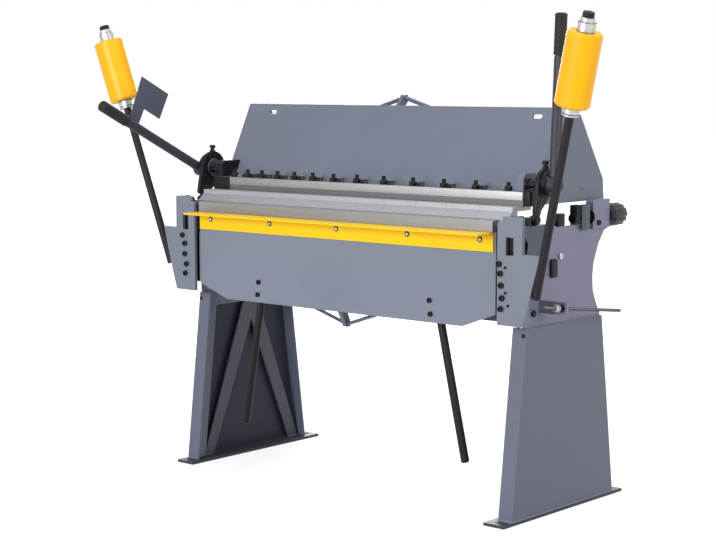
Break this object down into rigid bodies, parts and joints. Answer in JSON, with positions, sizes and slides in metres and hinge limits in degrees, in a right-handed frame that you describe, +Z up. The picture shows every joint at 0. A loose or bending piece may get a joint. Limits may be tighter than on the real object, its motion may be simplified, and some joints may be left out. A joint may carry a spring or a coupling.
{
  "type": "sheet metal brake",
  "caption": "Floor-standing box-and-pan sheet metal brake with a finger beam, cam clamp levers and a counterweighted bending apron.",
  "frame": {"origin": "on the floor, under the centre of the machine's bounding box", "axes": "+X along the bed to the operator's right, -Y towards the operator, +Z up"},
  "size_m": [1.9326, 0.8864, 1.4181],
  "materials": {
    "grey_paint": "blue-grey satin paint",
    "light_paint": "light blue-grey satin paint",
    "yellow_paint": "yellow satin paint",
    "ground_steel": "ground bright steel",
    "dark_steel": "blackened steel, satin",
    "bright_zinc": "bright zinc",
    "black_rubber": "black, matte"
  },
  "bodies": {
    "frame": {"leg_left": "grey_paint", "leg_right": "grey_paint", "leg_brace_left": "grey_paint", "leg_brace_right": "grey_paint", "end_plate_left": "grey_paint", "end_plate_right": "grey_paint", "bed_beam": "grey_paint", "bed_bar": "ground_steel", "hinge_block_left": "grey_paint", "hinge_block_right": "grey_paint", "stop_rod": "bright_zinc"},
    "apron": {"apron_leaf": "light_paint", "folding_bar": "ground_steel", "front_angle": "yellow_paint", "apron_bracket_left": "light_paint", "apron_bracket_right": "light_paint", "hinge_pin_left": "dark_steel", "hinge_pin_right": "dark_steel", "weight_rod_left": "dark_steel", "weight_rod_right": "dark_steel", "counterweight_left": "yellow_paint", "counterweight_right": "yellow_paint", "apron_handle_left": "dark_steel", "apron_handle_right": "dark_steel", "apron_truss": "grey_paint"},
    "setback": {"pivot_block_left": "grey_paint", "pivot_block_right": "grey_paint"},
    "screw_left": {"setback_screw_left": "dark_steel"},
    "screw_right": {"setback_screw_right": "dark_steel"},
    "beam": {"beam_plate": "grey_paint", "beam_end_left": "grey_paint", "beam_end_right": "grey_paint", "beam_truss": "grey_paint", "finger_clamp_bar": "ground_steel", "cam_bearing_left": "dark_steel", "cam_bearing_right": "dark_steel", "finger_01": "ground_steel", "finger_02": "ground_steel", "finger_03": "ground_steel", "finger_04": "ground_steel", "finger_05": "ground_steel", "finger_06": "ground_steel", "finger_07": "ground_steel", "finger_08": "ground_steel", "finger_09": "ground_steel", "finger_10": "ground_steel", "finger_11": "ground_steel", "finger_12": "ground_steel", "finger_13": "ground_steel", "finger_14": "ground_steel"},
    "cam_left": {"cam_shaft_left": "dark_steel", "clamp_lever_left": "dark_steel", "lever_grip_left": "black_rubber", "lever_flag": "light_paint"},
    "cam_right": {"cam_shaft_right": "dark_steel", "clamp_lever_right": "dark_steel", "lever_grip_right": "black_rubber"},
    "link_left": {"strap_link_left": "dark_steel"},
    "link_right": {"strap_link_right": "dark_steel"}
  },
  "joints": [
    {"name": "apron_swing", "type": "hinge", "parent": "frame", "child": "apron", "pos_m": [0, -0.11278, 0.85], "axis": [-1, 0, 0], "range_deg": [0, 95]},
    {"name": "setback_adjust", "type": "slide", "parent": "frame", "child": "setback", "axis": [0, 1, 0], "range_m": [0, 0.0015]},
    {"name": "screw_turn_left", "type": "hinge", "parent": "frame", "child": "screw_left", "pos_m": [-0.6387, 0.34122, 0.84], "axis": [0, 1, 0], "range_deg": [0, 270]},
    {"name": "screw_turn_right", "type": "hinge", "parent": "frame", "child": "screw_right", "pos_m": [0.6387, 0.34122, 0.84], "axis": [0, 1, 0], "range_deg": [0, 270]},
    {"name": "beam_lift", "type": "hinge", "parent": "setback", "child": "beam", "pos_m": [0, 0.29922, 0.818], "axis": [-1, 0, 0], "range_deg": [0, 2.6]},
    {"name": "clamp_left", "type": "hinge", "parent": "beam", "child": "cam_left", "pos_m": [-0.698, -0.01478, 0.946], "axis": [-1, 0, 0], "range_deg": [0, 60]},
    {"name": "clamp_right", "type": "hinge", "parent": "beam", "child": "cam_right", "pos_m": [0.698, -0.01478, 0.946], "axis": [-1, 0, 0], "range_deg": [0, 60]},
    {"name": "link_swing_left", "type": "hinge", "parent": "frame", "child": "link_left", "pos_m": [-0.658, -0.04878, 0.849], "axis": [-1, 0, 0], "range_deg": [0, 2.25]},
    {"name": "link_swing_right", "type": "hinge", "parent": "frame", "child": "link_right", "pos_m": [0.658, -0.04878, 0.849], "axis": [-1, 0, 0], "range_deg": [0, 2.25]}
  ],
  "couplings": [
    {"joint": "screw_turn_left", "follows": "setback_adjust", "rad_per_m": 3141.6},
    {"joint": "screw_turn_right", "follows": "setback_adjust", "rad_per_m": 3141.6},
    {"joint": "beam_lift", "follows": "clamp_left", "ratio": 0.0432},
    {"joint": "clamp_right", "follows": "clamp_left", "ratio": 1},
    {"joint": "link_swing_left", "follows": "clamp_left", "ratio": 0.037},
    {"joint": "link_swing_right", "follows": "clamp_left", "ratio": 0.037}
  ]
}
